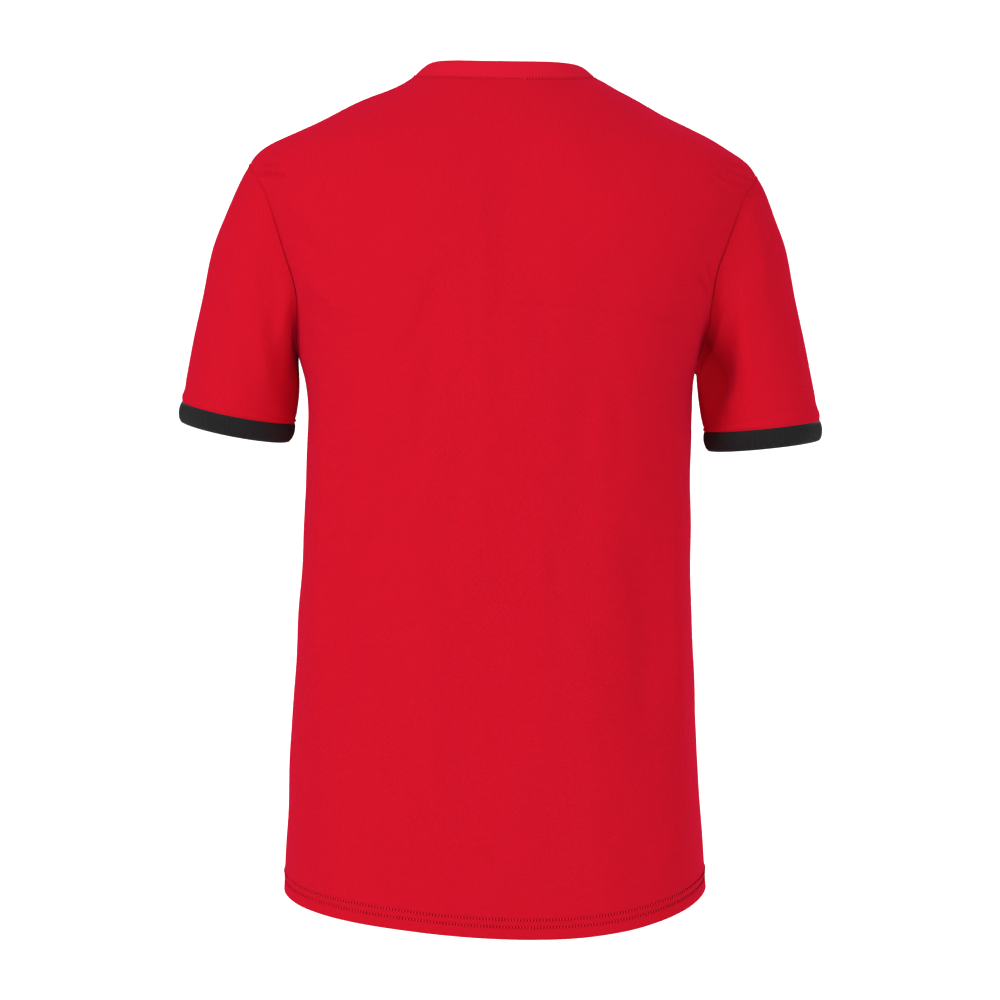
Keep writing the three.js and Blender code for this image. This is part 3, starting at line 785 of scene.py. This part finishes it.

# ================================ Stitching ================================
# Red polyester thread: the twin needle's two rows all round the hem, and one row under the neck band
# that holds its turnings down. It stops at the middle of the back, where a bare arch is left.

# Each needle hole holds a small dark bead of painted shadow.
HEM_STITCH, HEM_HOLE = 1.8, 0.8  # a stitch, and the needle hole after it
BAND_STITCH, BAND_HOLE = 1.9, 0.7
THREAD = 1.35  # the thread's width, coarser than real so that it shows
PROUD = 0.3  # how far the middle of a thread stands off the cloth
SLANT = math.radians(25)  # how far a stitch leans across its row
ARCH = (-21, 12)  # left and right ends of the bare stretch, by how far left they are


def stitch_rows():
    """A tree that lays stitches along the edges of a mesh, with a dark bead of painted shadow at the needle
    hole after each of them.
    """
    tree = bpy.data.node_groups.new("row of stitches", "GeometryNodeTree")
    socket = tree.interface.new_socket
    socket("Path", in_out="INPUT", socket_type="NodeSocketGeometry")
    for name in ("Stitch", "Hole", "Thread"):
        socket(name, in_out="INPUT", socket_type="NodeSocketFloat")
    socket("Seed", in_out="INPUT", socket_type="NodeSocketInt")
    for name in ("Thread material", "Hole shadow material"):
        socket(name, in_out="INPUT", socket_type="NodeSocketMaterial")
    socket("Stitches", in_out="OUTPUT", socket_type="NodeSocketGeometry")
    given = tree.nodes.new("NodeGroupInput").outputs
    pitch = add(tree, "ShaderNodeMath", {"operation": "ADD"}, _0=given["Stitch"], _1=given["Hole"])
    curve = add(tree, "GeometryNodeMeshToCurve", Mesh=given["Path"])
    by_length = {"mode": "LENGTH"}
    spaced = add(tree, "GeometryNodeResampleCurve", by_length, Curve=curve.outputs[0])
    tree.links.new(pitch.outputs[0], spaced.inputs["Length"])
    tangent = add(tree, "GeometryNodeInputTangent")
    align = "FunctionNodeAlignRotationToVector"
    ahead = add(tree, align, {"axis": "X"}, Vector=tangent.outputs[0])
    kept = {"axis": "Z", "pivot_axis": "X"}
    upright = add(tree, align, kept, Rotation=ahead.outputs[0], Vector=(0, 0, 1))
    local = {"rotation_space": "LOCAL"}
    turned = add(tree, "FunctionNodeRotateRotation", local, Rotation=upright.outputs[0], _1=(0, SLANT, 0))
    vector = {"data_type": "FLOAT_VECTOR"}
    least, most = (0.88, 0.85, 0.85), (1.06, 1.15, 1.15)
    uneven = add(tree, "FunctionNodeRandomValue", vector, _0=least, _1=most, _8=given["Seed"])
    product = {"operation": "MULTIPLY"}
    scaled = {"operation": "SCALE"}

    stitch_size = add(tree, "ShaderNodeCombineXYZ", X=given["Stitch"], Y=given["Thread"], Z=given["Thread"])
    scale = add(tree, "ShaderNodeVectorMath", product, _0=stitch_size.outputs[0], _1=uneven.outputs[0])
    bead = add(tree, "GeometryNodeMeshIcoSphere", Radius=0.5, Subdivisions=2)
    stitches = add(
        tree,
        "GeometryNodeInstanceOnPoints",
        Points=spaced.outputs[0],
        Instance=bead.outputs["Mesh"],
        Rotation=turned.outputs[0],
        Scale=scale.outputs[0],
    )
    whole = add(tree, "GeometryNodeRealizeInstances", Geometry=stitches.outputs[0])
    thread = given["Thread material"]
    threads = add(tree, "GeometryNodeSetMaterial", Geometry=whole.outputs[0], Material=thread)

    half = add(tree, "ShaderNodeMath", product, _0=pitch.outputs[0], _1=0.5)
    step = add(tree, "ShaderNodeVectorMath", scaled, _0=tangent.outputs[0], Scale=half.outputs[0])
    after = add(tree, "GeometryNodeSetPosition", Geometry=spaced.outputs[0], Offset=step.outputs[0])
    wide = add(tree, "ShaderNodeMath", product, _0=given["Hole"], _1=2.3)
    hole_size = add(tree, "ShaderNodeCombineXYZ", X=given["Hole"], Y=wide.outputs[0], Z=wide.outputs[0])
    shadow_bead = add(tree, "GeometryNodeMeshIcoSphere", Radius=0.5, Subdivisions=1)
    holes = add(
        tree,
        "GeometryNodeInstanceOnPoints",
        Points=after.outputs[0],
        Instance=shadow_bead.outputs["Mesh"],
        Rotation=turned.outputs[0],
        Scale=hole_size.outputs[0],
    )
    whole_holes = add(tree, "GeometryNodeRealizeInstances", Geometry=holes.outputs[0])
    dark = given["Hole shadow material"]
    painted_hole_shadows = add(tree, "GeometryNodeSetMaterial", Geometry=whole_holes.outputs[0], Material=dark)

    both = add(tree, "GeometryNodeJoinGeometry")
    tree.links.new(threads.outputs[0], both.inputs[0])
    tree.links.new(painted_hole_shadows.outputs[0], both.inputs[0])
    smooth = add(tree, "GeometryNodeSetShadeSmooth", Geometry=both.outputs[0])
    add(tree, "NodeGroupOutput", Stitches=smooth.outputs[0])
    return tree


def sewing(name, colour, roughness, gloss):
    material = bpy.data.materials.new(name)
    material.use_nodes = True
    shader = material.node_tree.nodes["Principled BSDF"]
    shader.inputs["Base Color"].default_value = linear(colour)
    shader.inputs["Roughness"].default_value = roughness
    shader.inputs["Specular IOR Level"].default_value = gloss
    return material


# Trilobal polyester sewing thread, slicker than the knit. Its colour is painted brighter than the knit's
# red, a painted highlight where each stitch catches light.
thread_painted_highlight = sewing("trilobal polyester thread, dyed, painted highlight", "#ff2442", 0.5, 0.0)
# Where the needle went through, the knit is drawn down into its own shadow; a dark bead painted with that
# shadow sits in each hole.
needle_hole_shadow = sewing("painted shadow in a needle hole", "#6e0010", 0.9, 0.0)
stitches = stitch_rows()


def sew(name, paths, stitch, hole, seed):
    """Stitches along paths of places, as one mesh."""
    places = np.concatenate([path for path, _ in paths])
    edges, start = [], 0
    for path, closed in paths:
        number = np.arange(len(path)) + start
        edges.append(np.stack([number, np.roll(number, -1)], -1)[: None if closed else -1])
        start += len(path)
    mesh = bpy.data.meshes.new(name + "_path")
    mesh.from_pydata((places * MM).tolist(), np.concatenate(edges).tolist(), [])
    row = bpy.data.objects.new(name, mesh)
    bpy.context.scene.collection.objects.link(row)
    modifier = row.modifiers.new("stitches", "NODES")
    modifier.node_group = stitches
    values = {"Stitch": stitch * MM, "Hole": hole * MM, "Thread": THREAD * MM, "Seed": seed}
    values.update({"Thread material": thread_painted_highlight, "Hole shadow material": needle_hole_shadow})
    for item in stitches.interface.items_tree:
        if item.in_out == "INPUT" and item.name in values:
            modifier[item.identifier] = values[item.name]
    made = row.evaluated_get(bpy.context.evaluated_depsgraph_get())
    row.data = bpy.data.meshes.new_from_object(made)
    row.modifiers.clear()
    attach(row, "root")


def level_line(outer, distance, from_top):
    """The line on a panel's outer face that runs at a distance from its lower or upper edge."""
    run = along(outer, 0)
    if from_top:
        run = run[-1:] - run
        outer, run = outer[::-1], run[::-1]
    columns = range(outer.shape[1])
    line = np.array([[np.interp(distance, run[:, j], outer[:, j, k]) for k in range(3)] for j in columns])
    return line + unit(line * [1, 1, 0]) * PROUD


hem_rows = []
for row_height in TWIN_ROWS:
    back_row = level_line(back_outer, row_height, False)
    front_row = level_line(front_outer, row_height, False)
    hem_rows.append((np.concatenate([back_row[2:-2], front_row[2:-2]]), True))
sew("hem_stitching", hem_rows, HEM_STITCH, HEM_HOLE, 3)

BAND_ROW = 0.9  # the row's distance from the band's seam
back_row = level_line(back_outer, BAND_ROW, True)[2:-2]
front_row = level_line(front_outer, BAND_ROW, True)[2:-2]
right_part = back_row[back_row[:, 0] < ARCH[0]]
left_part = back_row[back_row[:, 0] > ARCH[1]]
band_rows = [(np.concatenate([right_part, front_row, left_part]), False)]
sew("neck_band_stitching", band_rows, BAND_STITCH, BAND_HOLE, 5)

# ================================ Studio ================================
# A pale seamless floor that sweeps up behind, soft light from large panels, and the camera. None of it
# is part of the garment. From here on, places and sizes are in metres.

view_settings = bpy.context.scene.view_settings
view_settings.view_transform = "Standard"


# Matt background paper, which shows no highlight.
def paper(name, colour):
    material = bpy.data.materials.new(name)
    material.use_nodes = True
    shader = material.node_tree.nodes["Principled BSDF"]
    shader.inputs["Base Color"].default_value = linear(colour)
    shader.inputs["Roughness"].default_value = 0.9
    return material


FLOOR = cad_box[0][2] - 0.35  # well below the hem, which hangs free
SWEEP = 1.2  # radius of the sweep
SWEEP_STEPS = 12
sweep = [(6.0, FLOOR), (-2.5, FLOOR)]
for step in range(1, SWEEP_STEPS + 1):
    turn = step / SWEEP_STEPS * math.pi / 2
    sweep.append((-2.5 - SWEEP * math.sin(turn), FLOOR + SWEEP * (1 - math.cos(turn))))
sweep.append((-2.5 - SWEEP, 5.0))
places = [(x, y, z) for y, z in sweep for x in (-6.0, 6.0)]
faces = [(2 * k, 2 * k + 1, 2 * k + 3, 2 * k + 2) for k in range(len(sweep) - 1)]
backdrop_mesh = bpy.data.meshes.new("backdrop")
backdrop_mesh.from_pydata(places, [], faces)
backdrop_mesh.polygons.foreach_set("use_smooth", [True] * len(faces))
backdrop_mesh.materials.append(paper("white seamless paper", "#fafafa"))
backdrop = bpy.data.objects.new("backdrop", backdrop_mesh)
bpy.context.scene.collection.objects.link(backdrop)

world = bpy.data.worlds.new("studio")
world.use_nodes = True
world.node_tree.nodes["Background"].inputs["Color"].default_value = (1, 1, 1, 1)
world.node_tree.nodes["Background"].inputs["Strength"].default_value = 0.45
bpy.context.scene.world = world


def aim(item, place, target):
    """Stands a light or camera at a place, turned to a target."""
    item.location = place
    item.rotation_mode = "QUATERNION"
    item.rotation_quaternion = (Vector(target) - Vector(place)).to_track_quat("-Z", "Y")
    bpy.context.scene.collection.objects.link(item)


def softbox(name, place, target, size, power):
    light = bpy.data.lights.new(name, "AREA")
    light.shape = "RECTANGLE"
    light.size, light.size_y = size
    light.energy = power
    aim(bpy.data.objects.new(name, light), place, target)


# Each light: where it stands, what it faces, its size and its power in watts.
middle = [(low + high) / 2 for low, high in zip(*cad_box)]
softbox("key softbox", (2.55, 2.5, 1.65), (0.05, 0, -0.2), (1.4, 1.4), 56)
softbox("fill softbox", (-1.4, 2.95, 1.4), middle, (2.4, 2.4), 31)
softbox("front softbox", (-1.9, -2.1, 0.6), middle, (1.3, 1.3), 13)
softbox("backdrop light", (0, -1.6, 2.6), (0, -4.5, 1.0), (3.5, 0.6), 150)

# The camera stands behind the wearer, level with the middle of the garment.
DISTANCE, LEVEL = 3.0, -0.3625
camera_data = bpy.data.cameras.new("camera")
camera_data.sensor_width = 36
camera_data.lens = 126.3
camera = bpy.data.objects.new("camera", camera_data)
aim(camera, (0, DISTANCE, LEVEL), (0, 0, LEVEL))
bpy.context.scene.camera = camera
